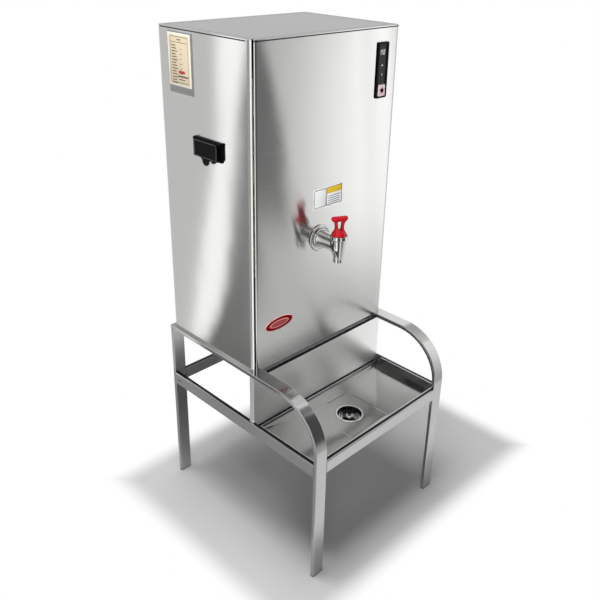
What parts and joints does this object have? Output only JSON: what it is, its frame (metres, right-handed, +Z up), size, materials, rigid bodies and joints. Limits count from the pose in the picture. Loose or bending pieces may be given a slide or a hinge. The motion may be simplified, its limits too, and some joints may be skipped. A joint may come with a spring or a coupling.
{
  "type": "hot water urn",
  "caption": "Floor-standing electric water boiler: steel cabinet with a red-handled tap over a drained sink, on a flat-tube stand.",
  "frame": {"origin": "middle of the stand's footprint on the floor", "axes": "+Z up, -Y towards the front with the tap, +X to the right seen from the front"},
  "size_m": [0.417, 0.475, 1.071],
  "materials": {
    "stand_steel": "satin",
    "foot_plastic": "matte",
    "splash_steel": "satin",
    "sink_steel": "satin",
    "drain_chrome": "polished",
    "nut_brass": "machined",
    "strainer_steel": "satin",
    "side_steel": "satin",
    "front_steel": "satin",
    "rear_steel": "satin",
    "cover_steel": "satin",
    "inner_steel": "plain",
    "insulation_foam": "fibrous",
    "element_steel": "oxidised",
    "valve_plastic": "matte",
    "coil_black": "matte",
    "hose_silicone": "matte",
    "cock_brass": "machined",
    "box_plastic": "matte",
    "gland_black": "matte",
    "tap_chrome": "polished",
    "handle_red": "glossy",
    "pin_steel": "plain",
    "seat_rubber": "matte",
    "bezel_black": "glossy",
    "window_plastic": "glossy",
    "lamp_plastic": "glossy",
    "button_plastic": "satin",
    "housing_black": "matte",
    "switch_black": "matte",
    "lever_black": "matte",
    "flip_smoked": "glossy",
    "plate_cream": "satin",
    "sticker_white": "satin",
    "badge_red": "glossy"
  },
  "bodies": {
    "urn": {"leg_rail_left": "stand_steel", "leg_rail_right": "stand_steel", "rear_leg_left": "stand_steel", "rear_leg_right": "stand_steel", "bar_left": "stand_steel", "bar_right": "stand_steel", "bar_front": "stand_steel", "bar_rear": "stand_steel", "foot_front_left": "foot_plastic", "foot_front_right": "foot_plastic", "foot_rear_left": "foot_plastic", "foot_rear_right": "foot_plastic", "splash_panel": "splash_steel", "sink_tray": "sink_steel", "drain_body": "drain_chrome", "drain_nut": "nut_brass", "side_left": "side_steel", "side_right": "side_steel", "front_panel": "front_steel", "rear_panel": "rear_steel", "base_pan": "rear_steel", "tank_stand": "inner_steel", "inner_tank": "inner_steel", "insulation": "insulation_foam", "heater_flange": "inner_steel", "heating_element": "element_steel", "level_probe": "inner_steel", "temp_probe": "inner_steel", "vent_pipe": "inner_steel", "inlet_valve": "valve_plastic", "valve_coil": "coil_black", "fill_hose": "hose_silicone", "drain_cock": "cock_brass", "control_box": "box_plastic", "cable_gland": "gland_black", "tap_flange": "tap_chrome", "tap_body": "tap_chrome", "tap_collar": "tap_chrome", "tap_spring": "pin_steel", "tap_nut": "nut_brass", "strip_bezel": "bezel_black", "display_window": "window_plastic", "led_upper": "lamp_plastic", "led_lower": "lamp_plastic", "breaker_housing": "housing_black", "breaker_switch": "switch_black", "cover_pin": "pin_steel", "label_plate": "plate_cream", "blank_sticker": "sticker_white", "badge": "badge_red"},
    "seat_cup": {"seat_cup": "seat_rubber"},
    "tap_stem": {"tap_stem": "pin_steel"},
    "tap_handle": {"tap_handle": "handle_red", "tap_pin": "pin_steel"},
    "control_button": {"control_button": "button_plastic"},
    "breaker_cover": {"breaker_cover": "flip_smoked"},
    "breaker_lever": {"breaker_lever": "lever_black"},
    "strainer": {"strainer": "strainer_steel"},
    "top_cover": {"top_cover": "cover_steel"}
  },
  "joints": [
    {"name": "valve_lift", "type": "slide", "parent": "urn", "child": "seat_cup", "axis": [0, 0, 1], "range_m": [0, 0.0026], "deforming": ["tap_spring"]},
    {"name": "stem_swivel", "type": "hinge", "parent": "seat_cup", "child": "tap_stem", "pos_m": [-0.02, -0.1, 0.686], "axis": [0, 0, 1], "continuous": true},
    {"name": "handle_tilt", "type": "hinge", "parent": "tap_stem", "child": "tap_handle", "pos_m": [-0.02, -0.1, 0.686], "axis": [0.8829, -0.4695, 0], "range_deg": [0, 25], "stiffness_Nm_per_rad": 0.3, "springref_deg": -17.19},
    {"name": "button_press", "type": "slide", "parent": "urn", "child": "control_button", "axis": [0, 1, 0], "range_m": [0, 0.0015], "stiffness_N_per_m": 400, "springref_m": -0.001},
    {"name": "breaker_cover_flip", "type": "hinge", "parent": "urn", "child": "breaker_cover", "pos_m": [-0.2053, 0.078, 0.874], "axis": [0, 1, 0], "range_deg": [0, 110]},
    {"name": "breaker_lever_throw", "type": "hinge", "parent": "urn", "child": "breaker_lever", "pos_m": [-0.194, 0.078, 0.858], "axis": [0, 1, 0], "range_deg": [-44, 0]},
    {"name": "strainer_lift", "type": "slide", "parent": "urn", "child": "strainer", "axis": [0, 0, 1], "range_m": [0, 0.04]},
    {"name": "top_cover_lift", "type": "slide", "parent": "urn", "child": "top_cover", "axis": [0, 0, 1], "range_m": [0, 0.06]}
  ],
  "couplings": [
    {"joint": "valve_lift", "follows": "handle_tilt", "m_per_rad": 0.0057296}
  ]
}
